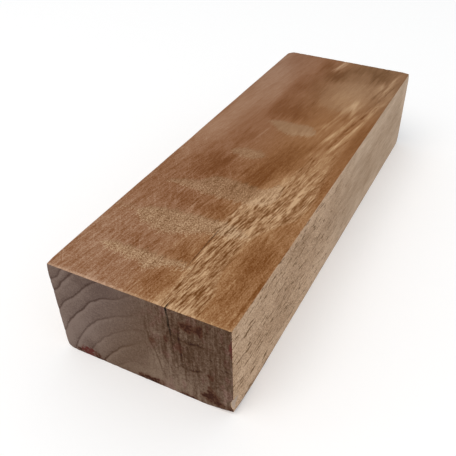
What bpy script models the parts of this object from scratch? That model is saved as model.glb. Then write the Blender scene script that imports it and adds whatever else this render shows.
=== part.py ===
"""Stabilized beech handle blank: one sawn and sanded block of resin-filled wood.

Metres, +Z up. The grain runs along Y, and the end with the drying check is at -Y.
The origin is the centre of the face that the block lies on.
"""

import math

import bmesh
import bpy
from mathutils import Vector

MM = 0.001

# Driving dimensions of the block
WIDTH = 42 * MM
LENGTH = 125 * MM
THICKNESS = 25 * MM

RIGHT = WIDTH / 2
NEAR = -LENGTH / 2
TOP = THICKNESS

# Edges that are clearly rounded, named by the two faces that meet there, and how far
ROUNDED_EDGES = {
    ("left", "bottom"): 0.80 * MM,
    ("left", "far"): 2.50 * MM,
}
ROUNDING_SEGMENTS = 4

# Every other edge only had its sharpness sanded off
EASE = 0.15 * MM
EASE_SEGMENTS = 2
EASE_ANGLE = math.radians(50)  # the least angle at which two faces make an edge
FACE_NORMALS = {
    "left": Vector((-1, 0, 0)),
    "right": Vector((1, 0, 0)),
    "near": Vector((0, -1, 0)),
    "far": Vector((0, 1, 0)),
    "bottom": Vector((0, 0, -1)),
    "top": Vector((0, 0, 1)),
}

# The near right corner of the underside is knocked off: a long, low facet
KNOCK_WIDTH = 6.5 * MM
KNOCK_LENGTH = 9.0 * MM
KNOCK_HEIGHT = 1.0 * MM

# A shallow bite out of the upright near right edge, just above the knocked corner
CHIP_SETBACK = 1.55 * MM
CHIP_HEIGHT = 3.5 * MM
CHIP_RADII = Vector((2.75 * MM, 2.75 * MM, 2.65 * MM))
CHIP_SIDES = 24

# Drying checks: each point of a mouth is its place along the line, across it, and half the width there
END_CHECK_DEPTH = 3.6 * MM
END_CHECK_X = 7.2 * MM
END_CHECK_MOUTH = (
    (TOP + 0.6 * MM, END_CHECK_X - 0.08 * MM, 0.190 * MM),
    (TOP - 1.4 * MM, END_CHECK_X, 0.180 * MM),
    (TOP - 2.7 * MM, END_CHECK_X + 0.16 * MM, 0.150 * MM),
    (TOP - 4.0 * MM, END_CHECK_X + 0.14 * MM, 0.185 * MM),
    (TOP - 5.4 * MM, END_CHECK_X + 0.22 * MM, 0.150 * MM),
    (TOP - 6.4 * MM, END_CHECK_X + 0.38 * MM, 0.100 * MM),
    (TOP - 7.2 * MM, END_CHECK_X + 0.46 * MM, 0.030 * MM),
)
TOP_CHECK_DEPTH = 0.9 * MM
TOP_CHECK_X = 4.95 * MM
TOP_CHECK_MOUTH = (
    (NEAR + 25.4 * MM, TOP_CHECK_X + 0.04 * MM, 0.020 * MM),
    (NEAR + 23.6 * MM, TOP_CHECK_X + 0.02 * MM, 0.090 * MM),
    (NEAR + 20.5 * MM, TOP_CHECK_X - 0.04 * MM, 0.065 * MM),
    (NEAR + 16.0 * MM, TOP_CHECK_X - 0.02 * MM, 0.055 * MM),
    (NEAR + 12.4 * MM, TOP_CHECK_X - 0.08 * MM, 0.020 * MM),
)
CHECK_CLEARANCE = 0.6 * MM  # how far a cutter starts outside the face it cuts
CHECK_ROOT = 0.10  # width left at the bottom of a check, as a share of its mouth


def clear_scene():
    for item in list(bpy.data.objects):
        bpy.data.objects.remove(item)


def new_collection(name):
    collection = bpy.data.collections.new(name)
    bpy.context.scene.collection.children.link(collection)
    return collection


def add_object(name, mesh, collection):
    item = bpy.data.objects.new(name, mesh)
    collection.objects.link(item)
    return item


def hide_cutter(item):
    item.hide_render = True
    item.display_type = "WIRE"


def beech_material():
    """Red-brown resin-filled beech, as the sanded top shows it."""
    material = bpy.data.materials.new("stabilized_beech")
    material.use_nodes = True
    shader = material.node_tree.nodes["Principled BSDF"]
    shader.inputs["Base Color"].default_value = (0.32, 0.165, 0.085, 1)
    shader.inputs["Roughness"].default_value = 0.55
    shader.inputs["Metallic"].default_value = 0.0
    return material


def slice_off(bm, point, normal):
    """Cuts away what lies beyond a plane and closes the cut."""
    cut = bmesh.ops.bisect_plane(
        bm,
        geom=[*bm.verts, *bm.edges, *bm.faces],
        plane_co=point,
        plane_no=normal,
        clear_outer=True,
    )
    rim = [part for part in cut["geom_cut"] if isinstance(part, bmesh.types.BMEdge)]
    bmesh.ops.contextual_create(bm, geom=rim)


def knock_off_corner(bm):
    """Slices the near right corner off the underside, by the plane through its three reaches."""
    on_near = Vector((RIGHT - KNOCK_WIDTH, NEAR, 0))
    on_side = Vector((RIGHT, NEAR + KNOCK_LENGTH, 0))
    on_upright = Vector((RIGHT, NEAR, KNOCK_HEIGHT))
    outward = (on_side - on_near).cross(on_upright - on_near)
    if outward.z > 0:
        outward.negate()
    slice_off(bm, on_near, outward)


def face_name(face):
    """Which side of the block a face belongs to, or None on the knocked-off facet."""
    names = [name for name, normal in FACE_NORMALS.items() if face.normal.dot(normal) > 0.9999]
    return names[0] if names else None


def rounding_of(edge):
    """How far an edge is rounded: 0 if it is only eased."""
    names = {face_name(face) for face in edge.link_faces}
    for pair, width in ROUNDED_EDGES.items():
        if names == set(pair):
            return width
    return 0.0


def block_mesh():
    """The sawn block with its knocked corner and a bevel weight on each rounded edge."""
    bm = bmesh.new()
    bmesh.ops.create_cube(bm, size=1)
    bmesh.ops.scale(bm, verts=bm.verts, vec=(WIDTH, LENGTH, THICKNESS))
    bmesh.ops.translate(bm, verts=bm.verts, vec=(0, 0, THICKNESS / 2))
    knock_off_corner(bm)
    bmesh.ops.recalc_face_normals(bm, faces=bm.faces)

    weights = bm.edges.layers.float.new("bevel_weight_edge")
    widest = max(ROUNDED_EDGES.values())
    for edge in bm.edges:
        edge[weights] = rounding_of(edge) / widest
    mesh = bpy.data.meshes.new("handle_blank")
    bm.to_mesh(mesh)
    bm.free()
    return mesh


def check_cutter(name, mouth, depth, turn, collection):
    """A blade that cuts a drying check: its mouth's outline, drawn in to a thin root at its depth.

    The outline is drawn with the line along the curve's Y, and turn maps the curve's X, Y and Z
    (across, along and out of the wood) to the block's axes.
    """
    one_side = [(across - half, along) for along, across, half in mouth]
    other_side = [(across + half, along) for along, across, half in mouth]
    outline = one_side + other_side[::-1]

    curve = bpy.data.curves.new(name, "CURVE")
    curve.dimensions = "2D"
    curve.fill_mode = "BOTH"
    curve.extrude = (depth + CHECK_CLEARANCE) / 2
    spline = curve.splines.new("POLY")
    spline.points.add(len(outline) - 1)
    for point, (across, along) in zip(spline.points, outline):
        point.co = (across, along, 0, 1)
    spline.use_cyclic_u = True
    drawn = add_object(name + "_outline", curve, collection)
    graph = bpy.context.evaluated_depsgraph_get()
    mesh = bpy.data.meshes.new_from_object(drawn.evaluated_get(graph))
    bpy.data.objects.remove(drawn)

    bm = bmesh.new()
    bm.from_mesh(mesh)
    bmesh.ops.remove_doubles(bm, verts=bm.verts, dist=1e-7)
    for vert in bm.verts:
        if vert.co.z < 0:
            _, centre, _ = min(mouth, key=lambda point: abs(point[0] - vert.co.y))
            vert.co.x = centre + (vert.co.x - centre) * CHECK_ROOT
        vert.co.z += (CHECK_CLEARANCE - depth) / 2
        vert.co = turn(vert.co)
    bmesh.ops.recalc_face_normals(bm, faces=bm.faces)
    bm.to_mesh(mesh)
    bm.free()
    cutter = add_object(name, mesh, collection)
    hide_cutter(cutter)
    return cutter


def chip_cutter(collection):
    """A lens-shaped scoop for the bite out of the near right edge."""
    bm = bmesh.new()
    bmesh.ops.create_uvsphere(bm, u_segments=CHIP_SIDES, v_segments=CHIP_SIDES // 2, radius=1)
    bmesh.ops.scale(bm, verts=bm.verts, vec=CHIP_RADII)
    centre = Vector((RIGHT + CHIP_SETBACK, NEAR - CHIP_SETBACK, CHIP_HEIGHT))
    bmesh.ops.translate(bm, verts=bm.verts, vec=centre)
    mesh = bpy.data.meshes.new("corner_chip")
    bm.to_mesh(mesh)
    bm.free()
    cutter = add_object("corner_chip", mesh, collection)
    hide_cutter(cutter)
    return cutter


def cut(target, cutter):
    modifier = target.modifiers.new(cutter.name, "BOOLEAN")
    modifier.operation = "DIFFERENCE"
    modifier.object = cutter
    modifier.solver = "EXACT"


def build():
    clear_scene()
    parts = new_collection("stabilized_beech_handle_blank")
    cutters = new_collection("cutters")

    mesh = block_mesh()
    blank = add_object("handle_blank", mesh, parts)
    mesh.materials.append(beech_material())

    rounding = blank.modifiers.new("rounded_edges", "BEVEL")
    rounding.limit_method = "WEIGHT"
    rounding.offset_type = "OFFSET"
    rounding.width = max(ROUNDED_EDGES.values())
    rounding.segments = ROUNDING_SEGMENTS
    ease = blank.modifiers.new("eased_edges", "BEVEL")
    ease.limit_method = "ANGLE"
    ease.angle_limit = EASE_ANGLE
    ease.offset_type = "OFFSET"
    ease.width = EASE
    ease.segments = EASE_SEGMENTS

    end_check = check_cutter(
        "end_check",
        END_CHECK_MOUTH,
        END_CHECK_DEPTH,
        lambda p: Vector((p.x, NEAR - p.z, p.y)),
        cutters,
    )
    top_check = check_cutter(
        "top_check",
        TOP_CHECK_MOUTH,
        TOP_CHECK_DEPTH,
        lambda p: Vector((p.x, p.y, TOP + p.z)),
        cutters,
    )
    for cutter in (end_check, top_check, chip_cutter(cutters)):
        cut(blank, cutter)


build()
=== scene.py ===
"""Looks of the stabilized beech handle blank: the sanded wood, its floor, light and camera.

Blender works in metres. Places on the block are written in millimetres in the part's own frame:
X across, Y along the grain and Z up from the face it lies on. The end with the drying check is the
near end, at the lowest Y.
"""

import math
from contextlib import contextmanager

import bpy
import numpy as np
from mathutils import Matrix, Vector, noise


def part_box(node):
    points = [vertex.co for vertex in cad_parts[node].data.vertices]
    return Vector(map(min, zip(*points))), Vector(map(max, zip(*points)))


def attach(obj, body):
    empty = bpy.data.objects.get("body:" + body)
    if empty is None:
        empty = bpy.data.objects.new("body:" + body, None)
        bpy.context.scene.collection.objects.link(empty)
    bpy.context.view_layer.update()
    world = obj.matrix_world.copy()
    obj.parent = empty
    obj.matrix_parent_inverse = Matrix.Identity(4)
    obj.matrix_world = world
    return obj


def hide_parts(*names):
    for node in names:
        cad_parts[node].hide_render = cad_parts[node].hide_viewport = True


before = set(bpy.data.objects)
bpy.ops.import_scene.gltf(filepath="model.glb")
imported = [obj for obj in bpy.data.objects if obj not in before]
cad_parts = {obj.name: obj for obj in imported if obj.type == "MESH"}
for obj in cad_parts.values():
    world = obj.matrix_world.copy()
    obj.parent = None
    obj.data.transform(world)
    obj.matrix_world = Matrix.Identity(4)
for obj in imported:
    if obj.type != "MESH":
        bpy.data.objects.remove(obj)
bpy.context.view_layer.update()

# The block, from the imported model
MM = 0.001
LOW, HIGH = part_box("handle_blank")
LEFT, NEAR, BOTTOM = LOW / MM
RIGHT, FAR, TOP = HIGH / MM
CENTRE = (LOW + HIGH) / 2

# Edges that are clearly rounded, named by the two faces that meet there, and how far in mm
ROUNDED_EDGES = {
    ("left", "bottom"): 0.80,
    ("left", "far"): 2.50,
}
ROUNDING_SEGMENTS = 8

# Every other edge only had its sharpness sanded off
EASE = 0.15
EASE_SEGMENTS = 3
EASE_ANGLE = math.radians(50)  # the least angle at which two faces make an edge
FACE_NORMALS = {
    "left": Vector((-1, 0, 0)),
    "right": Vector((1, 0, 0)),
    "near": Vector((0, -1, 0)),
    "far": Vector((0, 1, 0)),
    "bottom": Vector((0, 0, -1)),
    "top": Vector((0, 0, 1)),
}
SAME_WAY = 0.9999  # how well a face's normal has to fit one of these
CREASE_ANGLE = math.radians(38)  # edges sharper than this stay crisp

# The near right corner of the underside is knocked off along a long, low facet
KNOCK_WIDTH = 6.5
KNOCK_LENGTH = 9.0
KNOCK_HEIGHT = 1.0

# The bite out of the upright near right edge
CHIP_CENTRE = (RIGHT + 1.55, NEAR - 1.55, 3.5)
CHIP_RADII = (2.75, 2.75, 2.65)
CHIP_SIDES = 40

# Torn pale grain beside the bite, on the right side: y, z, reach along, reach up, strength
TORN_GRAIN = ((-62.2, 4.3, 2.4, 1.2, 1.2),)

# Drying checks: each point is its place along the line, its place across it, and half the width
END_CHECK_DEPTH = 3.6
END_CHECK = (
    (TOP + 0.6, 7.12, 0.190),
    (TOP - 1.4, 7.20, 0.180),
    (TOP - 2.7, 7.36, 0.150),
    (TOP - 4.0, 7.34, 0.185),
    (TOP - 5.4, 7.42, 0.150),
    (TOP - 6.4, 7.58, 0.100),
    (TOP - 7.2, 7.66, 0.030),
)
TOP_CHECK_DEPTH = 0.9
TOP_CHECK = (
    (NEAR + 25.4, 4.99, 0.020),
    (NEAR + 23.6, 4.97, 0.090),
    (NEAR + 20.5, 4.91, 0.065),
    (NEAR + 16.0, 4.93, 0.055),
    (NEAR + 12.4, 4.87, 0.020),
)
CHECK_CLEARANCE = 0.6  # how far a blade starts outside the face it cuts
CHECK_ROOT = 0.10  # width left at the bottom of a check, as a share of its mouth
CHECK_RUN_OUT = 0.1  # depth left at both ends of a mouth, as a share of the check's

# Steps of the fine mesh, in mm: the relief runs along the grain, so the steps are longer there
STEP_ACROSS = 0.30
STEP_ALONG = 0.90
STEP_UP = 0.31
CUT_TOLERANCE = 1e-7  # in metres

# Growth rings, as the near end shows them: points (x, z) along each dark line
RINGS = (
    ((-22.5, 18.6), (-20.6, 21.0), (-19.2, 22.1), (-17.6, 24.2), (-16.4, 26.0)),
    ((-22.5, 15.9), (-20.6, 17.9), (-19.2, 19.2), (-17.7, 21.4), (-16.1, 23.2), (-13.5, 26.3)),
    ((-22.5, 9.9), (-20.1, 13.2), (-18.6, 15.5), (-16.1, 17.6), (-13.3, 20.7), (-11.2, 22.9),
     (-7.5, 25.8)),
    ((-22.0, 3.5), (-20.5, 6.0), (-18.6, 9.65), (-17.1, 11.4), (-15.6, 13.5), (-13.9, 15.1),
     (-11.8, 17.9), (-9.8, 19.5), (-8.6, 20.4), (-7.1, 21.1), (-5.35, 21.7), (-3.9, 22.4),
     (-1.8, 24.1), (0.2, 26.0)),
    ((-19.6, -1.0), (-18.6, 1.4), (-17.4, 4.1), (-15.9, 6.7), (-13.6, 9.9), (-11.8, 12.0),
     (-10.4, 13.5), (-9.2, 14.35), (-7.1, 15.8), (-4.4, 17.4), (-1.8, 18.4)),
    ((-15.8, -1.0), (-12.7, 4.8), (-11.2, 6.7), (-10.1, 8.2), (-8.7, 9.5), (-6.5, 11.4),
     (-3.4, 13.8), (-1.2, 14.9), (1.7, 15.8)),
    ((-12.2, -1.2), (-10.9, 0.8), (-9.8, 2.3), (-8.3, 4.35), (-6.5, 6.4), (-5.35, 7.7),
     (-3.9, 8.8), (-2.4, 9.9), (-1.2, 10.8), (0.5, 12.3)),
    ((-9.0, -1.0), (-5.6, 2.4), (-2.7, 4.35), (-0.6, 4.9), (2.2, 6.2)),
)
RING_STRENGTHS = (0.8, 1.0, 0.95, 1.2, 0.9, 0.6, 1.3, 0.6)

# How much darker a ring makes the wood beside the middle of its line, from its inner side out: the
# inner flank is paler, which is below 0
RING_PROFILE = (
    (-2.4, 0.0), (-1.2, -0.16), (-0.42, -0.45), (-0.2, 0.3), (-0.05, 1.1), (0.07, 1.1), (0.26, 0.35),
    (0.8, 0.08), (2.4, 0.0),
)

# How clear the rings are, from left to right
RING_FADE = ((-22, 1.0), (-12, 1.0), (-7, 0.6), (-1, 0.2), (2, 0.0), (22, 0.0))

DIAGONAL = math.sqrt(0.5)  # sine and cosine of 45 degrees, the way that the rings run

# Relief, in mm: only what lies within the skin of a face sinks, and it always sinks inward
SKIN = 0.6
RIPPLE_DEPTH = 0.045
GRIT_DEPTH = 0.04
RING_FURROW_DEPTH = 0.07
RING_FURROW_REACH = 0.38
EDGE_WEAR_DEPTH = 0.05
EDGE_WEAR_REACH = 0.8
CORNER_WEAR_DEPTH = 0.22
CORNER_WEAR_REACH = 3.0

# Its bumps: how many per mm across, along and up, and how far they are lifted so that more show
GRAIN_RIPPLES = ((2.0, 0.11, 2.0), 0.25)
END_GRIT = ((1.5, 1.5, 1.5), 0.2)
EDGE_WEAR = ((0.22, 0.16, 0.22), 0.1)

# How places are moved about before marks are drawn on them, which gives the marks a natural edge:
# clouds per mm across, along and up, and the reach in mm
STRAY = ((0.11, 0.035, 0.11), (1.6, 1.6, 1.6))
COMB = ((1.1, 0.03, 1.1), (1.0, 13, 1.0))
RAG = ((1.0, 1.0, 1.0), (1.8, 1.8, 1.8))
RING_WAVER = ((0.5, 0.03, 0.5), (0.55, 0.55, 0.55))

# Patterns of the wood: clouds per mm across, along and up, how many finer layers they get, and how
# strongly those show
STREAKS = ((1.5, 0.07, 1.5), 3, 0.6)
SPECKLE = ((4.2, 2.2, 4.2), 1, 0.6)
FIBRES = ((2.6, 0.42, 2.6), 1, 0.6)
VESSELS = ((3.0, 0.17, 3.0), 2, 0.6)
UPRIGHT_STREAKS = ((1.6, 0.1, 0.14), 3, 0.6)
PORES = ((1.4, 0.4, 1.2), 2, 0.65)
SIDE_FLECKS = ((1.9, 0.26, 1.9), 1, 0.5)
SIDE_MOTTLE = ((0.05, 0.07, 0.2), 2, 0.5)
RED_CLOUDS = ((0.55, 0.1, 0.3), 2, 0.5)
UNDERSIDE_CLOUDS = ((0.12, 0.03, 0.12), 2, 0.5)

# How strong such a cloud is where its mark starts, and where the mark is full
VESSEL_EDGE = (0.53, 0.68)
FLECK_EDGE = (0.59, 0.67)
RED_EDGE = (0.53, 0.68)
SCRATCH_EDGE = (0.58, 0.72)

# How far the grain strays across, and dips, for each mm along
GRAIN_LEAN = 0.11
GRAIN_DIP = 0.05

# Share of the light that each face gets and the grey sheen on it, which the paint makes up for
FACE_LIGHT = {"top": (0.973, 0.009), "side": (0.79, 0.02), "end": (0.973, 0.011)}

# Sanding scratches run askew to the grain
SCRATCH_ANGLE = math.radians(-35)
SCRATCHES = (2.2, 0.13, 1)

# Where something fades in, in mm: from the first place to the second
NEAR_HALF = (15, -30)
NEAR_END = (0, -20)
# Along the top, where the painted highlight on its near edge fades in
NEAR_EDGE_HIGHLIGHT = (NEAR + 0.9, NEAR + 0.3)
END_CHECK_SHADE = (NEAR + 2.4, NEAR + 0.6)
TOP_CHECK_SHADE = (TOP - TOP_CHECK_DEPTH - 1, TOP - TOP_CHECK_DEPTH)
# Across the top, where the painted highlight on its near edge fades to half
EDGE_HIGHLIGHT_LEFT = (8, -4)
TOP_LEFT = (9, -9)
# The next three are for a painted sheen that greys the far top and takes colour out of it, most at its
# left
FAR_SHEEN_GREY = (18, 45)
FAR_SHEEN_FADE = (5, 62)
SHEEN_FADE_LEFT = (-6, -20)
RIGHT_OF_END = (-3, 9)
OLIVE_PART = (-11, 4)
LEFT_SIDE = (0, -10)
BITE_FRONT = (NEAR, NEAR + 0.3)
BITE_FOOT = (1.6, 2.4)
TORN_SKIN = (RIGHT - 0.4, RIGHT - 0.2)

# The olive part's border leans: it is at OLIVE_PART at this height, and so far left per mm down
OLIVE_LEVEL = 18
OLIVE_LEAN = 0.5

# Edge of the bite's pale paint, as shares of its radii, and of the torn grain's, as a strength
BITE_RIM = (1.03, 1.01)
TORN_EDGE = (0.3, 0.7)

# Strength of the stains' spots where their colour starts, and where it is full
STAIN_EDGE = (0.05, 0.85)
STAIN_MIDDLE = (0.5, 0.95)
RED_STAIN_EDGE = (0.15, 0.8)

# How soft the edges of marks are, in mm
BAND_SOFT = (1.3, 1.2)
UNDERSIDE_BAND_SOFT = (2.5, 1.2)
TOP_LINE_SOFT = 0.3
SEAM_SOFT = 0.28
BAR_SOFT = 0.42
CHECK_SOFT = 0.1

# How squarely a face looks along an axis where its own paint starts, and where it is full
FACING, SQUARE = 0.6, 0.8

# The two axes that span the top, the ends and the sides
TOP_AXES, END_AXES, SIDE_AXES = (0, 1), (0, 2), (1, 2)

# Tone of the near end's ground, from left to right
END_GROUND = (
    (-22, 0.80), (-15, 0.80), (-8, 0.76), (-2, 0.70), (4, 0.66), (8, 0.55), (14, 0.52), (22, 0.50),
)

# Tone of the top's ground, along the block: darker towards the far end, partly the wood and partly
# painted shade
TOP_GROUND_AND_SHADE = (
    (-64, 0.58), (-50, 0.54), (-40, 0.53), (-31, 0.48), (-22, 0.43), (-10, 0.43), (0, 0.45),
    (20, 0.43), (40, 0.43), (64, 0.41),
)

# The band of bold straight grain on the top: places along it, and its left and right edges there
BAND = (
    (-66, 4.6, 13.0), (-55, 4.9, 14.0), (-50, 4.9, 12.8), (-43, 4.6, 12.4), (-37, 3.5, 13.2),
    (-31, 4.0, 16.5), (-27, 4.5, 19.0), (-20, 8.5, 19.8), (-12, 9.8, 19.6), (-3, 11.0, 19.0),
    (6, 11.8, 18.6), (14, 12.4, 18.6), (22, 13.5, 18.9), (30, 15.5, 19.2), (40, 16.8, 20.0),
    (50, 17.5, 20.4), (66, 18.5, 20.8),
)

# Soft light and dark spots on the top: x, y, reach across, reach along, strength
TOP_SPOTS = (
    (-18.5, 4, 7.5, 24, 0.25), (-17, -50, 9, 15, 0.11), (-16, 24, 9, 17, 0.20),
    (-17.5, 42, 8, 16, 0.24), (-11, 34, 5, 16, 0.13), (-10, 54, 6, 12, 0.06),
    (-9, -14, 8, 9, -0.32), (3.5, -14.5, 6, 7, -0.32), (5.5, -7, 6, 7, -0.27),
    (-7, -31, 9, 4, -0.17), (1, -31, 4, 4, -0.24), (-8, 1, 4, 7, -0.17), (6.5, 0, 6, 6, -0.21),
    (-2, 19.3, 8, 6.5, -0.29), (-4.5, 26, 7, 7, -0.14), (-5, 41, 6, 10, -0.17),
    (0.6, 50, 5, 8, -0.35), (-4, 54, 4.5, 9, -0.17), (13.5, 56, 5, 7.5, -0.31),
    (7, 58, 7, 6, -0.15), (17, -44, 5.5, 10, -0.29), (16.5, -56, 5, 9, -0.14),
    (1.5, -57, 5.5, 5, -0.24), (1.5, -47.5, 4.5, 3.5, -0.22), (-7.5, -48.5, 4, 3, -0.11),
    (8.5, -37, 5, 6, 0.14), (9, -22, 3.5, 6.5, 0.29), (10.3, -16, 2, 6, 0.32),
    (14, -31.5, 2.6, 6, 0.14), (9.5, 37, 10, 14, 0.21), (13, 30.5, 3.2, 6, 0.18),
    (19.8, 14, 2.4, 26, -0.17), (-5.9, 14.9, 1.0, 2.2, -0.21), (0.75, 26.2, 1.3, 1.6, -0.14),
    (-8, 22, 3.4, 11, -0.14), (-8, 36, 3.6, 13, -0.15), (12.6, 32, 2.4, 5.5, 0.2),
    (14.3, -20, 3, 13, 0.26), (14.5, -5, 2.6, 9, 0.24), (15.5, 0, 2.6, 5, 0.16),
    (8, -23, 3.2, 9, 0.20), (9.5, -13, 3.2, 6, 0.18), (19, -24, 2.6, 8, 0.18),
    (16, 47, 2.2, 8, 0.26), (20.2, 41, 1.4, 9, 0.20), (-20.5, 57, 2.4, 7, 0.2),
    (-20.5, 12, 1.6, 12, -0.13), (6.5, 10.5, 3, 3.6, 0.17), (10.5, 3.5, 3.4, 4.5, -0.14),
    (12, 17, 3.4, 6, 0.12), (11.5, 28.5, 3, 5, 0.18), (-13, -47.3, 10, 2.4, -0.17),
    (5.5, -48.2, 6, 2.4, -0.14), (-12, -62, 11, 2.2, 0.18), (9, -62, 7, 2.2, 0.20),
    (-20.5, -52, 2, 9, -0.14), (-11, -14, 3.4, 5, 0.12), (-18.5, -14, 2.4, 8, 0.13),
    (-7, 42, 3, 5, 0.13), (0, 35, 6, 8, -0.12), (14.5, 56, 2.6, 5, 0.10),
    (6.5, -27.5, 3, 5, 0.26), (11, -36.5, 3, 7, 0.24), (8, -62, 3, 1.8, 0.2), (15, -25, 4, 5, 0.16),
    (12.5, 11, 3, 5, 0.18), (8.5, 15.5, 2.4, 3, 0.17), (13.5, -11, 2.4, 5, 0.2), (8, -17, 3, 4, 0.14),
    (16, 51, 1.8, 5, 0.18), (14, 61.5, 4, 3, -0.16), (0, -23, 3, 3, -0.18), (2.5, 26, 3, 4, -0.14),
    (19, -12, 2.4, 5, -0.12), (4, 54.5, 4, 4, -0.1), (12, 22, 2, 3, -0.08), (19, -20, 2.4, 4, 0.2),
    (-5, 58, 4, 6, -0.12), (9, -31, 2.4, 4, 0.22), (4, 9, 4, 2, 0.12), (6, -42, 2, 4, 0.12),
    (10.5, 22, 2, 3, 0.1), (12, -62, 4, 1.6, 0.2), (20.5, -50, 1.4, 5, -0.16), (0, 24, 3, 3, -0.06),
    (-14, -5, 3, 5, -0.1), (4, 40, 4, 5, -0.05), (16, -38, 3, 4, -0.12), (19.5, 26, 2, 8, 0.12),
)

# Lines along the grain of the top: points (y, x, half width), and strength
TOP_LINES = (
    (((-1, 11.0, 0.2), (8, 11.9, 0.4), (14.5, 13.2, 0.45), (20, 14.2, 0.4), (26, 14.8, 0.2)), 0.36),
    (((4, 14.9, 0.3), (7.8, 15.5, 0.5), (14.6, 16.4, 0.55), (20, 17.4, 0.5), (29, 18.4, 0.45),
      (37, 19.6, 0.2)), 0.40),
    (((11, 8.8, 0.15), (17, 9.2, 0.3), (20, 9.7, 0.3), (26, 10.4, 0.15)), 0.3),
    (((7.7, 11.2, 0.1), (11, 11.4, 0.2), (15.2, 11.8, 0.1)), -0.30),
    (((4.6, 13.8, 0.2), (15.2, 14.8, 0.4), (22, 16.0, 0.35), (29, 17.2, 0.2)), -0.34),
    (((9, 9.9, 0.15), (16, 10.4, 0.25), (24, 11.6, 0.15)), 0.2),
    (((38, 15.3, 0.2), (43, 16.1, 0.35), (50, 17.2, 0.2)), -0.30),
    (((41, 17.4, 0.3), (48, 17.9, 0.5), (56, 18.4, 0.3)), 0.26),
    (((1.5, -5.7, 0.1), (5, -5.2, 0.25), (9, -4.5, 0.15)), 0.22),
    (((-27.5, 14.7, 0.6), (-15, 15.9, 0.8), (-2.5, 17.0, 0.4)), 0.3),
    (((-66, 4.75, 0.45), (-56, 5.3, 0.5), (-50, 5.5, 0.4), (-43, 5.4, 0.3)), 0.4),
    (((-50.4, 4.9, 0.05), (-44, 4.95, 0.12), (-38.9, 4.97, 0.2), (-37.2, 5.0, 0.08)), -0.5),
    (((-61, 19.9, 0.1), (-54.7, 20.3, 0.25), (-47, 20.6, 0.1)), -0.35),
    (((-62.6, 7.3, 0.12), (-60.8, 7.2, 0.1), (-58.7, 7.6, 0.04)), -0.35),
    (((53.7, -1.2, 0.2), (58, -0.4, 0.7), (63, 0.2, 0.8)), 0.5),
    (((-16.0, -0.6, 0.15), (-12.8, -0.4, 0.3)), -0.3),
)

# Pale fuzzy patches across the top: points (x, near edge, far edge), strength, and how soft the edges are
TOP_RUNGS = (
    (((-16, -51.5, -51.5), (-14, -52.8, -50.4), (-10.5, -53.75, -50), (-5.5, -54.2, -49.9),
      (-2.6, -55.4, -49.9), (0.3, -53.3, -49.9), (3.7, -52.5, -50), (5.75, -51.8, -50.1),
      (7, -51, -51)), 1.0, 1.2, 0.5),
    (((-15, -40, -38), (-12.5, -42.5, -36.3), (-8.6, -44.2, -35.2), (-5.1, -44.6, -34.8),
      (-2.2, -43.3, -34.5), (0.3, -42.1, -34.3), (3.7, -40.8, -34.3), (8, -40.5, -34.6),
      (13, -38, -38)), 1.0, 2.2, 0.8),
    (((-16, -26.2, -26.2), (-14.7, -26.4, -24.8), (-8.4, -26.4, -21.7), (-7.2, -26.5, -20.4),
      (-5.5, -27, -18.75), (-1.3, -27, -18.3), (3.25, -27, -18.75), (7.8, -26.5, -18.3),
      (9.8, -25.5, -15.5), (11.6, -20, -20)), 0.85, 0.6, 1.0),
    (((-8.4, -5.5, -5.5), (-6.8, -7.6, -3.8), (-3.7, -8.2, -3.2), (-1.0, -8.2, -3.6),
      (1.2, -5.7, -5.7)), 0.8, 0.8, 0.8),
    (((-7.6, 12.3, 12.3), (-5.1, 10.8, 13.9), (-3.4, 9.4, 14.5), (-0.5, 7.4, 14.7),
      (2, 7.0, 14.9), (6.2, 7.8, 14.9), (7.4, 8.4, 13.6), (8.8, 11, 11)), 1.0, 1.5, 1.0),
    (((0, 37, 37), (2.5, 27.5, 47), (6, 25.0, 49), (10, 24.5, 50), (13, 26, 50), (14.3, 29, 50),
      (16, 42, 51), (18.5, 50, 50)), 0.55, 4.0, 4.0),
)

# Soft spots on the near end: x, z, reach across, reach up, strength
END_SPOTS = (
    (-15, 8, 9, 9, 0.12), (-6, 15, 8, 8, 0.02), (3, 20, 7, 5, -0.04), (8, 14, 5, 6, -0.11),
    (13, 12, 8, 8, -0.09), (3, 4, 8, 5, 0.08), (12, 4, 6, 4, 0.03), (4.2, 16.9, 2.4, 0.8, 0.14),
    (-17, 2.5, 4, 3, 0.04), (11, 3, 14, 12, 0.26), (6.5, 2, 8, 3.5, 0.14), (-2, 2, 5, 3, 0.12),
    (-20.5, 5, 3, 8, 0.2), (-9, 23.5, 6, 5, -0.12), (16, 13, 5, 5, 0.10), (8, 13, 3, 4, 0.14),
    (4.5, 9, 5, 5, 0.14), (19, 5, 3, 4, 0.14), (-14, 4, 3, 4, -0.14), (-14, 24, 3, 2.5, -0.12),
)

# Upright dark lines on the near end: points (z, x, half width), and strength
SEAMS = (
    (((19.9, 2.0, 0.08), (17, 1.85, 0.12), (15.8, 2.15, 0.14), (13.5, 2.4, 0.13), (11.7, 3.2, 0.12),
      (8.8, 3.9, 0.1), (6.4, 4.5, 0.1), (3.8, 5.2, 0.08), (2, 5.7, 0.04)), 0.34),
    (((12.3, 5.2, 0.08), (9.35, 6.0, 0.12), (7.9, 6.7, 0.12), (5.8, 7.9, 0.08)), 0.3),
    (((11.1, 7.3, 0.1), (7, 8.2, 0.1)), 0.25),
    (((21, 9.5, 0.1), (17.4, 9.4, 0.14), (13.7, 9.6, 0.16), (9.5, 9.7, 0.1)), 0.45),
    (((22.6, 6.4, 0.06), (20.2, 6.1, 0.08), (17.9, 6.85, 0.08)), 0.3),
    (((23.5, 14.2, 0.16), (20.5, 14.2, 0.12)), 0.45),
    (((23, 7.3, 0.06), (20.4, 7.36, 0.16), (17.9, 7.6, 0.16)), 0.7),
    (((12.3, 16.0, 0.1), (9.3, 16.1, 0.2), (5.2, 16.1, 0.14)), 0.35),
)

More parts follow.
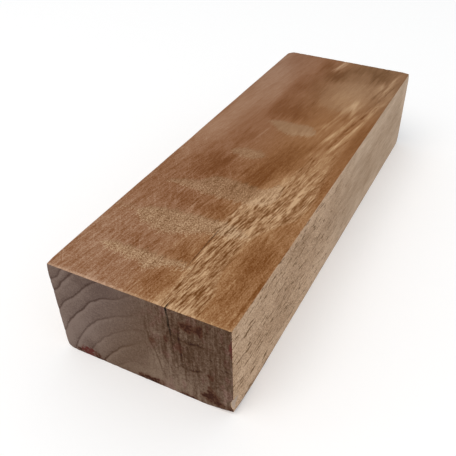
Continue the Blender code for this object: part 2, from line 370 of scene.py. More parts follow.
# Level dark bars on the near end: points (x, z, half width), and strength
BARS = (
    (((9.35, 17.4, 0.14), (12, 17.3, 0.22), (13.8, 17.7, 0.2), (15.2, 17.3, 0.1)), 0.5),
    (((9.6, 9.5, 0.16), (11.7, 9.35, 0.22), (14.35, 10.5, 0.16)), 0.5),
    (((-1.2, 14.9, 0.1), (0, 15.5, 0.12), (1.7, 15.8, 0.12)), 0.2),
)

# Dark and red stains on the near end: x, z, reach across, reach up, strength
STAINS = (
    (11.4, 21.7, 2.6, 2.1, 1.0), (14.2, 21.8, 0.9, 2.2, 0.65), (6.4, 16.1, 1.0, 1.9, 0.7),
    (2.9, 14.1, 1.6, 1.7, 0.6), (9.4, 15, 1.0, 2.2, 0.6), (16.1, 9.3, 1.3, 1.4, 0.8),
    (16.2, 3.0, 3.2, 2.8, 0.85), (15.8, 5.4, 1.3, 2.0, 0.7), (14.3, 2.9, 1.6, 1.4, 0.5),
    (18.2, 1.6, 2.4, 1.4, 0.5), (0.4, 0.5, 3.8, 2.1, 0.95), (3.4, 1.2, 3.0, 1.5, 0.6),
    (10.6, 0.2, 3.6, 1.3, 0.8), (13.8, 21.8, 1.4, 2.6, 0.5),
    (20.4, 1.6, 1.2, 1.8, 0.6), (19.2, 0.2, 3, 0.8, 0.6), (-17.6, 0.7, 2.0, 1.5, 0.8),
    (-12.6, 1.1, 1.7, 1.8, 0.7), (-11.2, 0.2, 2.2, 0.7, 0.6),
)
RED_STAINS = (
    (-15.2, 1.2, 2.9, 2.9, 1.0), (21.1, 20, 1.2, 6, 0.6), (3.4, 1.8, 1.4, 0.9, 0.3),
)

# Tone of the sides' ground, from the underside up
SIDE_GROUND = (
    (0, 0.83), (3, 0.81), (6, 0.75), (9, 0.685), (13, 0.645), (17, 0.66), (20, 0.71), (25, 0.76),
)

# Soft spots on the right side: y, z, reach along, reach up, strength
SIDE_SPOTS_AND_FOOT_SHADE = (
    (-28, 20.4, 11, 2.6, -0.26), (-35, 21.5, 4, 1.5, -0.15), (-52, 4.8, 8, 0.7, -0.26),
    (-60, 15, 8, 9, 0.09), (-20, 6, 14, 5, 0.09), (-40, 8, 8, 6, -0.09), (-10, 14, 12, 6, -0.04),
    # The dark strip along the foot near the near end, at y -59 and z 0.5, is painted shade where the side
    # meets the floor
    (-5, 21.5, 4, 1.5, -0.09), (-59, 0.5, 14, 0.9, -0.45), (-33, 12, 8, 4, -0.12),
    (-25, 9, 5, 3, 0.10), (-50, 3, 9, 3, 0.16), (-12, 24, 9, 2, 0.14), (-33, 22, 6, 2, -0.12),
    (3, 13, 7, 4, -0.12), (18, 8, 8, 3, -0.12), (-6, 6, 6, 3, 0.14), (34, 22, 14, 3, 0.10),
    (36, 16, 10, 4, -0.06), (-54, 10, 9, 4, 0.16), (60, 18, 5, 8, 0.16), (-36, 4, 7, 2.5, -0.17),
    (44, 3, 12, 4, -0.15), (24, 7, 10, 4, -0.1), (12, 22.5, 6, 3, 0.1), (-12, 6, 5, 4, 0.12),
)

# Share of the top's palettes that a tone of 1 reaches
TOP_TONES = 5 / 6

# Colours, as the photo shows them, from dark, at a tone of 0, to pale, at a tone of 1
WARM_TAN = (
    (111, 65, 30), (125, 81, 46), (141, 97, 61), (155, 113, 77), (169, 130, 92), (184, 146, 108),
    (200, 163, 124),
)
ROSY_BROWN = (
    (110, 66, 35), (123, 79, 48), (138, 95, 66), (151, 112, 85), (165, 129, 103), (180, 145, 119),
    (196, 161, 136),
)
GREY_BUFF = (
    (98, 68, 40), (115, 83, 54), (132, 98, 69), (148, 114, 84), (163, 129, 98), (178, 146, 113),
    (194, 162, 129),
)
END_MAUVE = ((44, 28, 24), (64, 48, 42), (85, 68, 61), (105, 88, 80), (126, 109, 100))
END_OLIVE = ((48, 26, 14), (69, 48, 34), (88, 67, 53), (107, 87, 73), (128, 108, 92))
END_RED = ((52, 24, 18), (78, 46, 39), (99, 66, 58), (118, 86, 78), (138, 107, 98))
SIDE_TAN = ((108, 84, 60), (128, 103, 78), (150, 122, 97), (170, 143, 118), (190, 163, 137))
SIDE_GREY = ((106, 84, 64), (125, 103, 82), (146, 122, 99), (167, 144, 122), (187, 164, 142))
SIDE_ROSY = ((96, 70, 52), (116, 88, 68), (136, 106, 85), (156, 126, 105), (176, 147, 126))
STAIN_DARK = (62, 38, 25)
STAIN_RED_BROWN = (84, 53, 39)
STAIN_RED = (92, 47, 42)
# Painted shade inside the drying checks
CHECK_SHADE_BLACK = (24, 16, 12)
CHIP_PALE = (163, 146, 132)

# Dull surface: how rough it is, how much rougher on the ends, how much it mirrors, and how strong
# its bumps are and how high, in metres
ROUGHNESS = 0.68
END_ROUGHER = 0.12
SHEEN = 0.12
BUMP_STRENGTH = 0.6
BUMP_HEIGHT = 0.00008

# A cool room and a warm lamp: together neutral, and neutral in the shade of the warm wood too. The
# lamp's place and size are in metres.
ROOM_COLOUR = (0.97, 1, 1.03, 1)
ROOM_STRENGTH = 0.64
LAMP_COLOUR = (1.06, 1, 0.94)
LAMP_PLACE = (-0.15, -0.68, 1.32)
LAMP_SIZE = 1.2
LAMP_WATTS = 10

# White paper, its size in metres. It glows a little, so that it stays white.
FLOOR_SIZE = 6
FLOOR_GREY = 0.9
FLOOR_ROUGHNESS = 0.9
FLOOR_SHEEN = 0.1
FLOOR_GLOW = 0.15

# Camera, fitted to the photo's nine edge lines: its place in metres, its lens and sensor in mm
CAMERA_PLACE = (0.054218, -0.124021, 0.10195)
CAMERA_RIGHT = Vector((0.8997, 0.43646, 0.00656))
CAMERA_FORWARD = Vector((-0.33029, 0.69051, -0.64351))
CAMERA_LENS = 46.206
CAMERA_SHIFT = (-0.05273, 0.05567)
CAMERA_NEAREST = 0.001
SENSOR_WIDTH = 36


# Modelling


def deselect_all():
    for item in bpy.context.selected_objects:
        item.select_set(False)


def select_only(item):
    deselect_all()
    item.select_set(True)
    bpy.context.view_layer.objects.active = item


@contextmanager
def editing(item):
    """Edit mode on one object, with its whole mesh selected."""
    select_only(item)
    bpy.ops.object.mode_set(mode="EDIT")
    bpy.ops.mesh.select_all(action="SELECT")
    yield
    bpy.ops.object.mode_set(mode="OBJECT")


def apply_modifier(item, kind, **settings):
    """Adds a modifier and applies it."""
    select_only(item)
    bpy.ops.object.modifier_add(type=kind)
    modifier = item.modifiers[-1]
    for name, value in settings.items():
        setattr(modifier, name, value)
    bpy.ops.object.modifier_apply(modifier=modifier.name)


def add_cube(name, low, high):
    """A cube from one corner to the other, in mm, with its place in its mesh."""
    deselect_all()
    bpy.ops.mesh.primitive_cube_add(size=1)
    cube = bpy.context.object
    cube.name = name
    low, high = Vector(low) * MM, Vector(high) * MM
    with editing(cube):
        bpy.ops.transform.resize(value=high - low)
        bpy.ops.transform.translate(value=(low + high) / 2)
    return cube


def bisect(place, normal, **more):
    """Cuts the mesh in edit mode along a plane. The place is in mm."""
    place = Vector(place) * MM
    bpy.ops.mesh.select_all(action="SELECT")
    bpy.ops.mesh.bisect(plane_co=place, plane_no=normal, threshold=CUT_TOLERANCE, **more)


def knock_off_corner():
    """Slices the near right corner off the underside, by the plane through its three reaches."""
    on_near = Vector((RIGHT - KNOCK_WIDTH, NEAR, 0))
    on_side = Vector((RIGHT, NEAR + KNOCK_LENGTH, 0))
    on_upright = Vector((RIGHT, NEAR, KNOCK_HEIGHT))
    outward = (on_side - on_near).cross(on_upright - on_near).normalized()
    if outward.z > 0:
        outward.negate()
    bisect(on_near, outward, use_fill=True, clear_outer=True)


def face_name(normal):
    """Which side of the block a normal belongs to, or None on the knocked-off facet."""
    names = [name for name, way in FACE_NORMALS.items() if normal.dot(way) > SAME_WAY]
    return names[0] if names else None


def rounding_of(names):
    """How far the edge between two faces is rounded: 0 if it is only eased."""
    for pair, width in ROUNDED_EDGES.items():
        if names == set(pair):
            return width
    return 0.0


def round_edges(block):
    """Rounds two edges by their bevel weights, then eases every edge that is still sharp."""
    mesh = block.data
    sides = {edge.key: set() for edge in mesh.edges}
    for face in mesh.polygons:
        for key in face.edge_keys:
            sides[key].add(face_name(face.normal))
    widest = max(ROUNDED_EDGES.values())
    weights = mesh.attributes.new("bevel_weight_edge", "FLOAT", "EDGE")
    for edge in mesh.edges:
        weights.data[edge.index].value = rounding_of(sides[edge.key]) / widest
    apply_modifier(
        block,
        "BEVEL",
        limit_method="WEIGHT",
        offset_type="OFFSET",
        width=widest * MM,
        segments=ROUNDING_SEGMENTS,
    )
    mesh.attributes.remove(mesh.attributes["bevel_weight_edge"])
    apply_modifier(
        block,
        "BEVEL",
        limit_method="ANGLE",
        angle_limit=EASE_ANGLE,
        offset_type="OFFSET",
        width=EASE * MM,
        segments=EASE_SEGMENTS,
    )


def cut(block, cutter):
    """Cuts one shape out of the block and removes that shape."""
    apply_modifier(block, "BOOLEAN", operation="DIFFERENCE", object=cutter, solver="EXACT")
    bpy.data.objects.remove(cutter)


def check_blade(name, mouth, depth, to_block):
    """A blade in the shape of a drying check: drawn in to a thin root, and shallow at both ends.

    It is a cube split at each point of the mouth. Its X runs across the check, its Y along it and
    its Z out of the wood; to_block turns such a place, in mm, to the block's own.
    """
    ends = (mouth[0][0], mouth[-1][0])
    blade = add_cube(name, (-1, min(ends), -depth), (1, max(ends), CHECK_CLEARANCE))
    with editing(blade):
        for along, _, _ in mouth[1:-1]:
            bisect((0, along, 0), (0, 1, 0))
    for vertex in blade.data.vertices:
        place = vertex.co / MM
        along, centre, half = min(mouth, key=lambda point: abs(point[0] - place.y))
        if place.z < 0:
            half *= CHECK_ROOT
            place.z *= CHECK_RUN_OUT if along in ends else 1
        place.x = centre + place.x * half
        vertex.co = to_block(place) * MM
    return blade


def face_out(item):
    """Turns every face outward."""
    with editing(item):
        bpy.ops.mesh.normals_make_consistent(inside=False)


def chip_scoop():
    """A lens-shaped scoop for the bite out of the near right edge."""
    deselect_all()
    rows = CHIP_SIDES // 2
    bpy.ops.mesh.primitive_uv_sphere_add(segments=CHIP_SIDES, ring_count=rows, radius=1)
    scoop = bpy.context.object
    with editing(scoop):
        bpy.ops.transform.resize(value=Vector(CHIP_RADII) * MM)
        bpy.ops.transform.translate(value=Vector(CHIP_CENTRE) * MM)
    return scoop


def split_finely(block):
    """Splits the block by planes across, along and up, so that its surface can carry relief."""
    spans = (
        ((1, 0, 0), LEFT, RIGHT, STEP_ACROSS),
        ((0, 0, 1), BOTTOM, TOP, STEP_UP),
        ((0, 1, 0), NEAR, FAR, STEP_ALONG),
    )
    with editing(block):
        for normal, start, end, step in spans:
            for place in np.linspace(start, end, round((end - start) / step) + 1)[1:-1]:
                bisect(Vector(normal) * place, normal)


def near_to(gaps, reach):
    """1 where there is no gap, falling to 0 at the reach."""
    return np.clip(1 - gaps / reach, 0, 1)


def bumps_at(places, scales, lift):
    """Smooth bumps, from 0 to 1, at each place."""
    heights = np.array([noise.noise(Vector(place)) for place in places * scales])
    return np.clip(heights + lift, 0, 1)


def ring_axes(x, z):
    """Places on an end of the block, turned so that the rings run along the first axis."""
    return (x + z) * DIAGONAL, (z - x) * DIAGONAL


def ring_furrows(x, z):
    """How near each place is to the middle of a ring's line: 0 beside it, its strength on it."""
    along, across = ring_axes(x, z)
    furrows = np.zeros(len(x))
    for points, strength in zip(RINGS, RING_STRENGTHS):
        line = np.array([ring_axes(*point) for point in points])
        off = np.abs(across - np.interp(along, line[:, 0], line[:, 1]))
        furrows = np.maximum(furrows, strength * near_to(off, RING_FURROW_REACH))
    return furrows


def add_relief(block):
    """Sinks the surface a little: ripples along the grain, ring furrows, worn edges and corners."""
    mesh = block.data
    places = np.empty(len(mesh.vertices) * 3)
    mesh.vertices.foreach_get("co", places)
    places = places.reshape(-1, 3) / MM

    low, high = np.array(LOW) / MM, np.array(HIGH) / MM
    gaps = np.column_stack((places - low, high - places))
    outward = near_to(gaps, SKIN) @ np.vstack((-np.eye(3), np.eye(3)))
    outward /= np.maximum(np.linalg.norm(outward, axis=1), 1e-6)[:, None]  # never by 0
    gaps.sort(axis=1)
    on_skin = near_to(gaps[:, 0], SKIN)
    on_edge = near_to(gaps[:, 1], EDGE_WEAR_REACH)
    on_corner = near_to(gaps[:, 2], CORNER_WEAR_REACH) ** 2
    on_end = near_to(np.minimum(places[:, 1] - NEAR, FAR - places[:, 1]), SKIN)

    ripples = bumps_at(places, *GRAIN_RIPPLES)
    grit = bumps_at(places, *END_GRIT)
    wear = bumps_at(places, *EDGE_WEAR)
    rings = ring_furrows(places[:, 0], places[:, 2])
    depth = (
        RIPPLE_DEPTH * ripples * (1 - on_end)
        + on_end * (GRIT_DEPTH * grit + RING_FURROW_DEPTH * rings)
        + EDGE_WEAR_DEPTH * wear * on_edge
        + CORNER_WEAR_DEPTH * on_corner
    )
    places -= outward * (depth * on_skin)[:, None]
    mesh.vertices.foreach_set("co", (places * MM).ravel())
    mesh.update()


def finish_shading(block):
    """Shades the surface smooth, with crisp lines only at the cuts."""
    select_only(block)
    bpy.ops.object.shade_smooth_by_angle(angle=CREASE_ANGLE)


def build_block():
    block = add_cube("handle_blank_wood", LOW / MM, HIGH / MM)
    with editing(block):
        knock_off_corner()
    round_edges(block)
    end_check = check_blade(
        "end_check", END_CHECK, END_CHECK_DEPTH, lambda p: Vector((p.x, NEAR - p.z, p.y))
    )
    top_check = check_blade(
        "top_check", TOP_CHECK, TOP_CHECK_DEPTH, lambda p: Vector((p.x, p.y, TOP + p.z))
    )
    for cutter in (end_check, top_check, chip_scoop()):
        face_out(cutter)
        cut(block, cutter)
    split_finely(block)
    add_relief(block)
    finish_shading(block)
    return block


# Paint


def as_linear(colour):
    """An 8-bit colour, as the eye sees it, as the linear colour that a shader wants."""
    shares = [level / 255 for level in colour]
    return [s / 12.92 if s <= 0.04045 else ((s + 0.055) / 1.055) ** 2.4 for s in shares] + [1]


class Shade:
    """A shader socket. Sums written with it add Math nodes, and node() adds any other node."""

    def __init__(self, socket):
        self.socket = socket

    def node(self, kind, settings, sockets, output=0):
        """Adds a node: its settings are set first, then its sockets get their values or links."""
        node = self.socket.id_data.nodes.new("ShaderNode" + kind)
        for name, value in settings.items():
            if name == "stops":
                set_stops(node.color_ramp, value)
            elif name == "points":
                set_points(node.mapping, value)
            else:
                setattr(node, name, value)
        for name, value in sockets.items():
            if isinstance(value, Shade):
                self.socket.id_data.links.new(value.socket, node.inputs[name])
            else:
                node.inputs[name].default_value = value
        return Shade(node.outputs[output])

    def maths(self, operation, *terms):
        return self.node("Math", {"operation": operation}, dict(enumerate(terms)))

    def __add__(self, other):
        return self.maths("ADD", self, other)

    def __radd__(self, other):
        return self.maths("ADD", other, self)

    def __sub__(self, other):
        return self.maths("SUBTRACT", self, other)

    def __rsub__(self, other):
        return self.maths("SUBTRACT", other, self)

    def __mul__(self, other):
        return self.maths("MULTIPLY", self, other)

    def __rmul__(self, other):
        return self.maths("MULTIPLY", other, self)

    def __abs__(self):
        return self.maths("ABSOLUTE", self)

    def rise(self, start, end):
        """0 at start and 1 at end, with a soft step between them. It falls if end is below start."""
        low, high = min(start, end), max(start, end)
        to = (0, 1) if start < end else (1, 0)
        return self.node(
            "MapRange",
            {"interpolation_type": "SMOOTHSTEP"},
            {"Value": self, "From Min": low, "From Max": high, "To Min": to[0], "To Max": to[1]},
        )

    def along_curve(self, points):
        """The height of a curve through given points at this place along it."""
        return self.node("FloatCurve", {"points": points}, {"Value": self})


def set_stops(ramp, stops):
    """Gives a colour ramp its stops, each a position and a linear colour."""
    while len(ramp.elements) < len(stops):
        ramp.elements.new(0.5)
    for element, (position, colour) in zip(ramp.elements, stops):
        element.position = position
        element.color = colour


def set_points(mapping, points):
    """Gives a float curve its points, in whatever units they are written in."""
    mapping.use_clip = False
    mapping.extend = "HORIZONTAL"
    curve = mapping.curves[0]
    while len(curve.points) < len(points):
        curve.points.new(0.5, 0.5)
    for point, place in zip(curve.points, sorted(points)):
        point.location = place
    mapping.update()


def grain_line(along, across, points, soft):
    """A line through points (along, across, half width), as wide as its widest, fading at both ends."""
    points = sorted(points)
    first, last = points[0][0], points[-1][0]
    tip = min(8 * soft, (last - first) / 3)
    half = max(width for _, _, width in points)
    off = abs(across - along.along_curve([(a, c) for a, c, _ in points]))
    ends = along.rise(first - tip, first + tip) * along.rise(last + tip, last - tip)
    return off.rise(half + soft, half - soft) * ends


def check_line(along, across, points):
    """Where a drying check is, through points (along, across, half width), closed at both ends."""
    off = abs(across - along.along_curve([(a, c) for a, c, _ in points]))
    first, last = min(points), max(points)
    closed = -CHECK_SOFT
    widths = [(first[0] - 1, closed), *((a, w) for a, _, w in points), (last[0] + 1, closed)]
    return (along.along_curve(widths) - off).rise(-CHECK_SOFT, CHECK_SOFT)


def fuzzy_patch(along, across, points, low_soft, high_soft):
    """A patch between two edges given by points (along, low edge, high edge)."""
    low = across - along.along_curve([(a, b) for a, b, _ in points])
    high = along.along_curve([(a, c) for a, _, c in points]) - across
    return low.rise(0, low_soft) * high.rise(0, high_soft)


class Beech:
    """Places and wood patterns that every face of the block shares.

    A shader can hold only so many values at once. So the sums of each face keep their order: marks
    that need a place alone come before the patterns that wait for noise.
    """

    def __init__(self, tree):
        coordinates = tree.nodes.new("ShaderNodeTexCoord").outputs
        start = Shade(coordinates["Object"])
        self.place = start.node("VectorMath", {"operation": "SCALE"}, {0: start, "Scale": 1 / MM})
        self.x, self.y, self.z = self.parts(self.place)
        _, self.facing_y, self.facing_z = self.parts(Shade(coordinates["Normal"]))
        self.strayed = self.shaken(*STRAY)
        self.strayed_x, strayed_y, strayed_z = self.parts(self.strayed)
        self.combed = self.shaken(*COMB)
        self.ragged = self.shaken(*RAG)
        self.ringed = self.shaken(*RING_WAVER)
        slanted = {
            "X": self.strayed_x - self.y * GRAIN_LEAN,
            "Y": strayed_y,
            "Z": strayed_z + self.y * GRAIN_DIP,
        }
        self.slanted = start.node("CombineXYZ", {}, slanted)
        self.streaks = self.noise(*STREAKS, slanted=True) - 0.5
        self.speckle = self.noise(*SPECKLE) * 1.3 - 0.65
        self.fibres = self.noise(*FIBRES, slanted=True) - 0.5
        self.vessels = self.noise(*VESSELS, slanted=True).rise(*VESSEL_EDGE)
        self.upright = self.noise(*UPRIGHT_STREAKS) - 0.5
        self.pores = self.noise(*PORES) - 0.5
        turn = {"Vector": self.place, "Angle": SCRATCH_ANGLE}
        turned = start.node("VectorRotate", {"rotation_type": "Z_AXIS"}, turn)
        turned = self.scaled(turned, SCRATCHES)
        scratches = start.node("TexNoise", {}, {"Vector": turned, "Scale": 1, "Detail": 1})
        self.scratches = scratches.rise(*SCRATCH_EDGE)

    def parts(self, vector):
        split = vector.node("SeparateXYZ", {}, {"Vector": vector})
        outputs = split.socket.node.outputs
        return Shade(outputs["X"]), Shade(outputs["Y"]), Shade(outputs["Z"])

    def scaled(self, source, scales):
        return source.node("VectorMath", {"operation": "MULTIPLY"}, {0: source, 1: scales})

    def noise(self, scales, detail, roughness, slanted=False, output="Fac"):
        """Cloudy noise around 0.5. It follows the lean and the dip of the grain if it is slanted."""
        source = self.slanted if slanted else self.place
        sockets = {
            "Vector": self.scaled(source, scales),
            "Scale": 1,
            "Detail": detail,
            "Roughness": roughness,
        }
        return source.node("TexNoise", {}, sockets, output)

    def shaken(self, scales, reach):
        """Places moved about by noise."""
        cloud = self.noise(scales, 2, 0.5, output="Color")
        cloud = cloud.node("VectorMath", {"operation": "SUBTRACT"}, {0: cloud, 1: (0.5, 0.5, 0.5)})
        terms = {0: cloud, 1: reach, 2: self.place}
        return cloud.node("VectorMath", {"operation": "MULTIPLY_ADD"}, terms)


def mixed(factor, first, second):
    """The second colour laid over the first."""
    colours = {0: factor, 6: first, 7: second}
    return factor.node("Mix", {"data_type": "RGBA"}, colours, output=2)


def painted(face, colour):
    """The wood's own colour, from one read in the light and the sheen that its face gets."""
    light, sheen = FACE_LIGHT[face]
    return [max(level - sheen, 0.002) / light for level in as_linear(colour)[:3]] + [1]


def ramp(face, tone, palette):
    """The colour at a tone: the palette's colours are spread evenly, from 0 to 1."""
    last = len(palette) - 1
    stops = [(i / last, painted(face, colour)) for i, colour in enumerate(palette)]
    return tone.node("ValToRGB", {"stops": stops}, {"Fac": tone})


def add_spots(total, vector, axes, marks, core=0.1):
    """Adds soft oval spots to a tone: each has its centre and reach on the face, and its strength.

    A spot is full in its core, which is a share of its reach. Without a tone the spots stand alone.
    """
    for first, second, reach_first, reach_second, strength in marks:
        scale, shift = [0, 0, 0], [0, 0, 0]
        for axis, centre, reach in ((axes[0], first, reach_first), (axes[1], second, reach_second)):
            scale[axis] = 1 / reach
            shift[axis] = -centre / reach
        away = vector.node(
            "VectorMath", {"operation": "MULTIPLY_ADD"}, {0: vector, 1: scale, 2: shift}
        )
        away = away.node("VectorMath", {"operation": "LENGTH"}, {0: away}, output=1)
        total = away.maths("MULTIPLY_ADD", away.rise(1, core), strength, total or 0)
    return total


def top_colour(wood, near_half):
    """The sanded top: red-brown ground, pale fuzzy cross patches, and a band of bold straight grain."""
    across, along = wood.strayed_x, wood.y
    band = fuzzy_patch(along, across + wood.streaks * 2.5, BAND, *BAND_SOFT)
    # The ground, with painted shade partly darkening the far end
    tone = along.along_curve(TOP_GROUND_AND_SHADE)
    tone = add_spots(tone, wood.combed, TOP_AXES, TOP_SPOTS)
    tone = tone + band * 0.10
    broken = 0.85 + wood.streaks * 1.8
    frayed = across + wood.streaks * 1.2
    for points, strength in TOP_LINES:
        line = grain_line(along + wood.streaks, frayed, points, TOP_LINE_SOFT)
        tone = tone.maths("MULTIPLY_ADD", line * broken, strength, tone)
    rungs = None
    ragged = along + wood.streaks * 4 + wood.speckle * 3
    for points, strength, near_soft, far_soft in TOP_RUNGS:
        rung = fuzzy_patch(frayed, ragged, points, near_soft, far_soft) * strength
        rungs = rung if rungs is None else rungs.maths("MAXIMUM", rungs, rung)
    tone = tone.maths("MULTIPLY_ADD", rungs, 0.18, tone)
    tone = tone + wood.streaks * (band * 1.25 + 0.65) * (near_half * 0.5 + 0.5)
    tone = tone + wood.speckle * (near_half * (rungs + 0.75) + 0.12)
    tone = tone + wood.fibres * (near_half * (band * 1.4 + 0.55) + 0.2)
    tone = tone - wood.vessels * (band * 0.7 + 0.16) * (near_half * 0.7 + 0.3) + band * 0.03
    tone = tone + wood.scratches * near_half * (1 - band) * 0.14
    # A painted highlight: the top's near edge is made paler, fainter to the right
    painted_edge_highlight = wood.y.rise(*NEAR_EDGE_HIGHLIGHT) * (wood.x.rise(*EDGE_HIGHLIGHT_LEFT) * 0.5 + 0.5)
    tone = tone.maths("MULTIPLY_ADD", painted_edge_highlight, 0.32, tone)
    tone = tone * TOP_TONES
    left = (wood.x + wood.streaks * 8).rise(*TOP_LEFT)
    colour = mixed(left, ramp("top", tone, WARM_TAN), ramp("top", tone, ROSY_BROWN))
    # Greyer on the pale fuzzy patches and the near band, and a painted sheen that greys the far top
    # outside its left
    pale_grey_and_sheen = rungs.maths("MAXIMUM", rungs * 0.85, along.rise(*FAR_SHEEN_GREY) * (1 - left) * 0.8)
    pale_grey_and_sheen = pale_grey_and_sheen.maths("MAXIMUM", pale_grey_and_sheen, band * near_half * 0.35)
    colour = mixed(pale_grey_and_sheen, colour, ramp("top", tone, GREY_BUFF))
    # A painted sheen takes some colour out of the far top, most at its left
    sheen_fade = along.rise(*FAR_SHEEN_FADE) * (wood.x.rise(*SHEEN_FADE_LEFT) * 0.07 + 0.02)
    return colour.node("HueSaturation", {}, {"Saturation": 1 - sheen_fade, "Color": colour})


def end_colour(wood, rings):
    """The dull end grain: curved rings on the left, upright streaks on the right, and stains."""
    x, z = wood.x, wood.z
    right_part = x.rise(*RIGHT_OF_END)
    tone = x.along_curve(END_GROUND) + wood.speckle * (0.38 + right_part * 0.27)
    tone = tone + wood.pores * (0.2 + right_part * 0.65)
    near = wood.y.rise(*NEAR_END)
    broken = near * (0.9 + wood.pores * 2)
    for points, strength in SEAMS:
        line = grain_line(z, x + wood.speckle * 0.6, points, SEAM_SOFT)
        tone = tone - line * broken * strength
    for points, strength in BARS:
        line = grain_line(x, z + wood.speckle * 0.8, points, BAR_SOFT)
        tone = tone - line * broken * strength
    tone = add_spots(tone, wood.strayed, END_AXES, END_SPOTS)
    tone = tone + wood.upright * right_part * 1.1 - rings * 0.26
    olive = (x + (OLIVE_LEVEL - z) * OLIVE_LEAN).rise(*OLIVE_PART)
    colour = mixed(olive, ramp("end", tone, END_MAUVE), ramp("end", tone, END_OLIVE))
    reddish = wood.noise(*RED_CLOUDS).rise(*RED_EDGE) * right_part
    colour = mixed(reddish * 0.45, colour, ramp("end", tone, END_RED))
    grainy = 1 + wood.pores * 3.5 + wood.speckle * 0.8
    stain = add_spots(None, wood.ragged, END_AXES, STAINS, core=0.2) * grainy
    rim, middle = painted("end", STAIN_RED_BROWN), painted("end", STAIN_DARK)
    blotch = mixed(stain.rise(*STAIN_MIDDLE), rim, middle)
    colour = mixed(stain.rise(*STAIN_EDGE) * near, colour, blotch)
    red = add_spots(None, wood.ragged, END_AXES, RED_STAINS) * grainy
    return mixed(red.rise(*RED_STAIN_EDGE) * near, colour, painted("end", STAIN_RED))


def side_colour(wood, rings, near_half):
    """The pale sides, with short dark vessel flecks along the grain. The left one is a guess."""
    mottle = wood.noise(*SIDE_MOTTLE) - 0.5
    left = wood.x.rise(*LEFT_SIDE)
    flecks = wood.noise(*SIDE_FLECKS, slanted=True).rise(*FLECK_EDGE)
    clear = near_half + left * (0.5 - near_half)
    tone = wood.z.along_curve(SIDE_GROUND) + mottle * 0.5
    tone = tone + wood.speckle * (clear * 1.3 + 0.2)
    # Spots, with painted shade along the foot near the near end
    tone = add_spots(tone, wood.combed, SIDE_AXES, SIDE_SPOTS_AND_FOOT_SHADE) + wood.streaks * 0.5
    tone = tone - rings * left * 0.12
    tone = tone - flecks * (clear * 0.8 + 0.08)
    colour = mixed(near_half, ramp("side", tone, SIDE_GREY), ramp("side", tone, SIDE_TAN))
    return mixed(left, colour, ramp("side", tone, SIDE_ROSY))


def underside_colour(wood):
    """The underside, which the photo hides: the top's ground and band, without its patches."""
    band = fuzzy_patch(wood.y, wood.strayed_x + wood.streaks * 2.5, BAND, *UNDERSIDE_BAND_SOFT)
    cloud = wood.noise(*UNDERSIDE_CLOUDS)
    tone = 0.2 + cloud * 0.6 + band * 0.1 + wood.speckle * 0.5 + wood.fibres * 0.5
    tone = tone + wood.streaks * (band * 0.9 + 0.6) - wood.vessels * (band * 0.4 + 0.2)
    tone = tone * TOP_TONES
    return mixed(cloud.rise(0.6, 0.4), ramp("top", tone, GREY_BUFF), ramp("top", tone, ROSY_BROWN))


def ring_lines(wood):
    """The dark lines between growth rings, which run through the block from end to end."""
    x, _, z = wood.parts(wood.ringed)
    along, across = ring_axes(x, z)
    across = across + wood.speckle * 0.35
    rings = None
    for points, strength in zip(RINGS, RING_STRENGTHS):
        line = [ring_axes(*point) for point in points]
        ring = (across - along.along_curve(line)).along_curve(RING_PROFILE) * strength
        rings = ring if rings is None else rings + ring
    return rings * x.along_curve(RING_FADE)


def chip_patch(wood):
    """Where the bite out of the near right edge, and the torn grain beside it, show paler wood."""
    terms = {
        0: wood.place,
        1: [1 / reach for reach in CHIP_RADII],
        2: [-centre / reach for centre, reach in zip(CHIP_CENTRE, CHIP_RADII)],
    }
    away = wood.place.node("VectorMath", {"operation": "MULTIPLY_ADD"}, terms)
    away = away.node("VectorMath", {"operation": "LENGTH"}, {0: away}, output=1)
    inside = away.rise(*BITE_RIM) * wood.z.rise(*BITE_FOOT) * wood.y.rise(*BITE_FRONT)
    torn = add_spots(wood.speckle * 1.5, wood.place, SIDE_AXES, TORN_GRAIN, core=0.3)
    torn = torn.rise(*TORN_EDGE) * wood.x.rise(*TORN_SKIN)
    return inside.maths("MAXIMUM", inside, torn)


def stabilized_beech():
    """One material for the whole block: each face has its own figure, on shared wood patterns."""
    material = bpy.data.materials.new("stabilized_beech")
    material.use_nodes = True
    tree = material.node_tree
    wood = Beech(tree)
    near_half = wood.y.rise(*NEAR_HALF)
    rings = ring_lines(wood)

    on_top = wood.facing_z.rise(FACING, SQUARE)
    on_bottom = wood.facing_z.rise(-FACING, -SQUARE)
    on_end = abs(wood.facing_y).rise(FACING, SQUARE)
    colour = mixed(on_top, side_colour(wood, rings, near_half), top_colour(wood, near_half))
    colour = mixed(on_bottom, colour, underside_colour(wood))
    colour = mixed(on_end, colour, end_colour(wood, rings))

    colour = mixed(chip_patch(wood), colour, painted("side", CHIP_PALE))
    # Painted shade: the drying checks' insides and the faces at their mouths are painted near black
    end_check_painted_shade = wood.y.rise(*END_CHECK_SHADE)
    end_check_painted_shade = end_check_painted_shade * check_line(wood.z, wood.x, END_CHECK) * (1 - on_top * 0.7)
    top_check_painted_shade = wood.z.rise(*TOP_CHECK_SHADE)
    top_check_painted_shade = top_check_painted_shade * check_line(wood.y, wood.x, TOP_CHECK)
    painted_check_shade = end_check_painted_shade.maths("MAXIMUM", end_check_painted_shade * 0.95, top_check_painted_shade * 0.5)
    colour = mixed(painted_check_shade, colour, painted("end", CHECK_SHADE_BLACK))

    shader = tree.nodes["Principled BSDF"]
    tree.links.new(colour.socket, shader.inputs["Base Color"])
    rough = ROUGHNESS + wood.speckle * 0.2 + on_end * END_ROUGHER
    tree.links.new(rough.socket, shader.inputs["Roughness"])
    height = wood.streaks * 0.6 + wood.speckle * 0.5 - wood.vessels * 0.5
    sockets = {"Strength": BUMP_STRENGTH, "Distance": BUMP_HEIGHT, "Height": height}
    bump = height.node("Bump", {}, sockets)
    tree.links.new(bump.socket, shader.inputs["Normal"])
    shader.inputs["Specular IOR Level"].default_value = SHEEN
    return material


# Stage


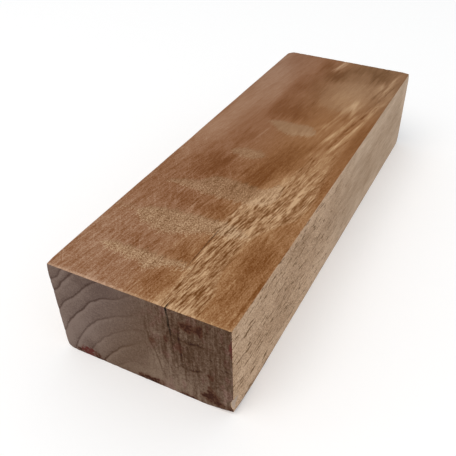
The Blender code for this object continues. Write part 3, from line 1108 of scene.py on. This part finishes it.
def add_floor():
    deselect_all()
    bpy.ops.mesh.primitive_plane_add(size=FLOOR_SIZE)
    floor = bpy.context.object
    floor.name = "floor"
    material = bpy.data.materials.new("white_paper")
    material.use_nodes = True
    shader = material.node_tree.nodes["Principled BSDF"]
    shader.inputs["Base Color"].default_value = (FLOOR_GREY, FLOOR_GREY, FLOOR_GREY, 1)
    shader.inputs["Roughness"].default_value = FLOOR_ROUGHNESS
    shader.inputs["Specular IOR Level"].default_value = FLOOR_SHEEN
    shader.inputs["Emission Color"].default_value = (1, 1, 1, 1)
    shader.inputs["Emission Strength"].default_value = FLOOR_GLOW
    floor.data.materials.append(material)


def add_softbox():
    """A square area light aimed at the block."""
    light = bpy.data.lights.new("overhead_softbox", "AREA")
    light.size = LAMP_SIZE
    light.energy = LAMP_WATTS
    light.color = LAMP_COLOUR
    lamp = bpy.data.objects.new("overhead_softbox", light)
    bpy.context.scene.collection.objects.link(lamp)
    lamp.location = LAMP_PLACE
    lamp.rotation_euler = (CENTRE - Vector(LAMP_PLACE)).to_track_quat("-Z", "Y").to_euler()


def add_world():
    world = bpy.data.worlds.new("white_room")
    world.use_nodes = True
    background = world.node_tree.nodes["Background"]
    background.inputs["Color"].default_value = ROOM_COLOUR
    background.inputs["Strength"].default_value = ROOM_STRENGTH
    bpy.context.scene.world = world


def add_camera():
    camera = bpy.data.cameras.new("camera")
    camera.sensor_width = SENSOR_WIDTH
    camera.lens = CAMERA_LENS
    camera.shift_x, camera.shift_y = CAMERA_SHIFT
    camera.clip_start = CAMERA_NEAREST
    item = bpy.data.objects.new("camera", camera)
    bpy.context.scene.collection.objects.link(item)
    up = CAMERA_RIGHT.cross(CAMERA_FORWARD)
    turn = Matrix((CAMERA_RIGHT, up, -CAMERA_FORWARD)).transposed()
    item.matrix_world = Matrix.Translation(CAMERA_PLACE) @ turn.to_4x4()
    bpy.context.scene.camera = item


block = build_block()
block.data.materials.clear()
block.data.materials.append(stabilized_beech())
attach(block, "root")
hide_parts("handle_blank")

add_floor()
add_world()
add_softbox()
add_camera()
bpy.context.scene.view_settings.view_transform = "Standard"
